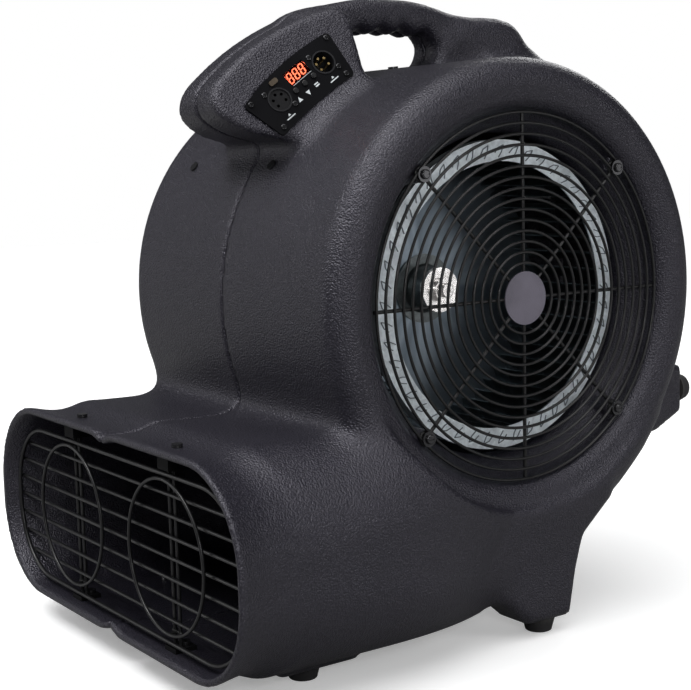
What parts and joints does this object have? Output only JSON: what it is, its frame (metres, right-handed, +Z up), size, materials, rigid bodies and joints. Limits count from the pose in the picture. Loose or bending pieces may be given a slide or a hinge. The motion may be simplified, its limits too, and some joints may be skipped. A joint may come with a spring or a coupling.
{
  "type": "air mover",
  "caption": "Portable centrifugal air mover with a round two-sided inlet drum, low wide mouth, wire guards, carrying handle and a control box with a display.",
  "frame": {"origin": "centre of the plan bounding box, on the floor under the front and rear feet", "axes": "+Z up, -Y towards the mouth, +X along the wheel axis towards the inlet beside the control panel"},
  "size_m": [0.448, 0.56, 0.56],
  "materials": {
    "housing": "fine leather grain, charcoal",
    "guard_wire": "black semi-gloss coated wire",
    "guard_plate": "flat grey coat",
    "black_fixing": "black zinc",
    "zinc_fixing": "zinc plated",
    "galvanised": "galvanised sheet",
    "wheel_steel": "dark galvanised sheet",
    "bright_steel": "bright turned steel",
    "motor_paint": "black paint",
    "core_steel": "bare laminations",
    "copper": "enamelled winding",
    "rubber": "moulded rubber",
    "panel_black": "satin black plate",
    "socket_metal": "black nickel die-cast",
    "socket_plastic": "moulded insert",
    "latch": "dull bronze tab",
    "gold": "gold plated contact",
    "button": "dark key cap",
    "display_glass": "smoked red window",
    "display_body": "display body",
    "digit_red": "lit segments",
    "board": "circuit board",
    "post": "spacer",
    "capacitor": "capacitor can"
  },
  "bodies": {
    "housing": {"board_posts": "post", "body_screws": "black_fixing", "bracket_isolators": "rubber", "bracket_screws": "zinc_fixing", "capacitor": "capacitor", "control_board": "board", "display_board": "board", "display_digits": "digit_red", "display_module": "display_body", "display_window": "display_glass", "feet_front": "rubber", "feet_rear": "rubber", "foot_screws": "zinc_fixing", "guard_plates": "guard_plate", "guard_screws": "black_fixing", "guard_washers": "black_fixing", "housing_left": "housing", "housing_right": "housing", "inlet_guard_left": "guard_wire", "inlet_guard_right": "guard_wire", "mains_inlet": "socket_plastic", "mains_plate": "panel_black", "mains_prongs": "gold", "motor_bearings": "core_steel", "motor_bells": "motor_paint", "motor_bolts": "zinc_fixing", "motor_bracket": "motor_paint", "motor_can": "motor_paint", "motor_spacers": "zinc_fixing", "motor_stator": "core_steel", "motor_windings": "copper", "outlet_clips": "guard_wire", "outlet_guard": "guard_wire", "outlet_screws": "black_fixing", "panel_plate": "panel_black", "panel_screws": "black_fixing", "pegs_high": "rubber", "pegs_low": "rubber", "seam_bolts": "zinc_fixing", "socket_a_insert": "socket_plastic", "socket_a_shell": "socket_metal", "socket_b_insert": "socket_plastic", "socket_b_pins": "gold", "socket_b_shell": "socket_metal", "socket_screws": "black_fixing"},
    "wheel": {"wheel_ring_right": "galvanised", "wheel_ring_left": "galvanised", "wheel_disc": "wheel_steel", "blades_right": "wheel_steel", "blades_left": "wheel_steel", "hub_cup": "wheel_steel", "hub_flange": "bright_steel", "lock_collar": "bright_steel", "shaft_bolt": "bright_steel", "shaft": "bright_steel", "rotor": "core_steel"},
    "button_1": {"button_1": "button"},
    "button_2": {"button_2": "button"},
    "button_3": {"button_3": "button"},
    "latch": {"socket_a_latch": "latch"}
  },
  "joints": [
    {"name": "wheel_spin", "type": "hinge", "parent": "housing", "child": "wheel", "pos_m": [0, 0.043, 0.298], "axis": [1, 0, 0], "continuous": true},
    {"name": "button_1_press", "type": "slide", "parent": "housing", "child": "button_1", "axis": [-0.9063, 0.2424, -0.3462], "range_m": [0, 0.0012], "stiffness_N_per_m": 400, "springref_m": -0.0005},
    {"name": "button_2_press", "type": "slide", "parent": "housing", "child": "button_2", "axis": [-0.9063, 0.2424, -0.3462], "range_m": [0, 0.0012], "stiffness_N_per_m": 400, "springref_m": -0.0005},
    {"name": "button_3_press", "type": "slide", "parent": "housing", "child": "button_3", "axis": [-0.9063, 0.2424, -0.3462], "range_m": [0, 0.0012], "stiffness_N_per_m": 400, "springref_m": -0.0005},
    {"name": "latch_press", "type": "slide", "parent": "housing", "child": "latch", "axis": [-0.9063, 0.2424, -0.3462], "range_m": [0, 0.0015], "stiffness_N_per_m": 500, "springref_m": -0.0005}
  ]
}
